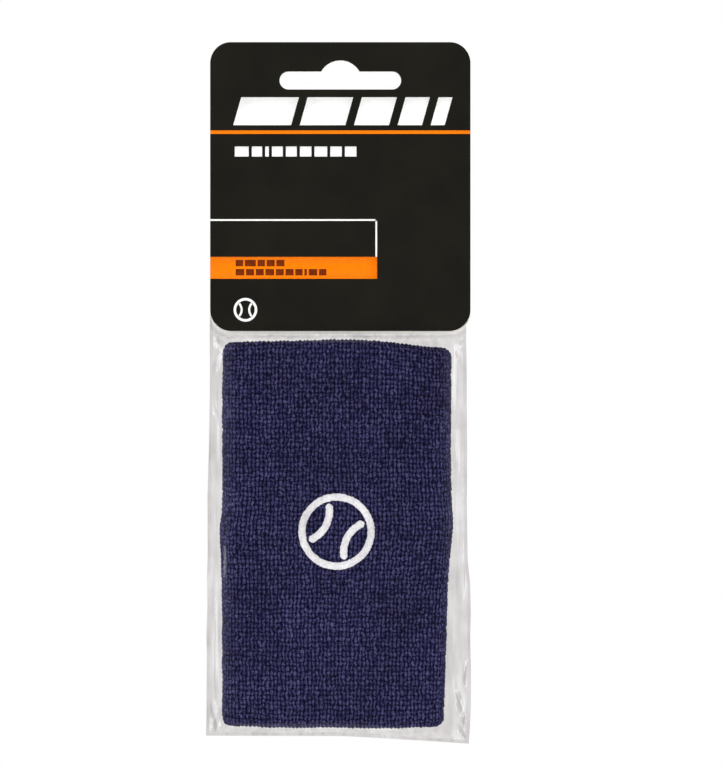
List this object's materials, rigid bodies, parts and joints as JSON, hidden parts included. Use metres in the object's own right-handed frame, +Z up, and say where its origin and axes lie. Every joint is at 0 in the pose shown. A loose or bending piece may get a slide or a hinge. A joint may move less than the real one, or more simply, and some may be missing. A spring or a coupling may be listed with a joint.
{
  "type": "sweat wristband",
  "caption": "Long terry sweat wristband, folded double and pressed flat, in a clear film pouch that hangs from a folded card with a peg slot.",
  "frame": {"origin": "top of the hang slot's dome, where the display peg bears, in the middle of the pack's thickness", "axes": "+X to the right of someone facing the pack, +Y out of its back, +Z up along its height"},
  "size_m": [0.0864, 0.0158, 0.2295],
  "materials": {
    "black_board": "satin",
    "clear_film": "gloss",
    "clear_adhesive": "satin",
    "navy_terry": "matte",
    "navy_thread": "matte",
    "elastic_thread": "matte",
    "stitch_backing": "matte",
    "white_embroidery": "satin"
  },
  "bodies": {
    "hang_card": {"card_front_panel": "black_board", "card_crease": "black_board", "front_adhesive": "clear_adhesive", "rear_adhesive": "clear_adhesive", "bag_neck": "clear_film"},
    "card_rear": {"card_rear_panel": "black_board"},
    "pouch": {"bag_front_film": "clear_film", "bag_rear_film": "clear_film", "bag_side_weld_left": "clear_film", "bag_side_weld_right": "clear_film", "bag_bottom_weld": "clear_film"},
    "wristband": {"terry_tube": "navy_terry", "linking_thread": "navy_thread", "elastic_row_01": "elastic_thread", "elastic_row_02": "elastic_thread", "elastic_row_03": "elastic_thread", "elastic_row_04": "elastic_thread", "elastic_row_05": "elastic_thread", "elastic_row_06": "elastic_thread", "elastic_row_07": "elastic_thread", "elastic_row_08": "elastic_thread", "elastic_row_09": "elastic_thread", "elastic_row_10": "elastic_thread", "elastic_row_11": "elastic_thread", "elastic_row_12": "elastic_thread", "elastic_row_13": "elastic_thread", "elastic_row_14": "elastic_thread", "embroidery_backing": "stitch_backing", "motif_ring": "white_embroidery", "motif_seam_left": "white_embroidery", "motif_seam_right": "white_embroidery"}
  },
  "joints": [
    {"name": "card_fold", "type": "hinge", "parent": "hang_card", "child": "card_rear", "pos_m": [0, 0.00005, 0.00535], "axis": [1, 0, 0], "range_deg": [0, 170], "deforming": ["card_crease"]},
    {"name": "pouch_flex", "type": "hinge", "parent": "hang_card", "child": "pouch", "pos_m": [0, 0, -0.0905], "axis": [1, 0, 0], "range_deg": [-45, 45]},
    {"name": "band_shift", "type": "slide", "parent": "pouch", "child": "wristband", "axis": [0, 0, 1], "range_m": [0, 0.001]}
  ]
}
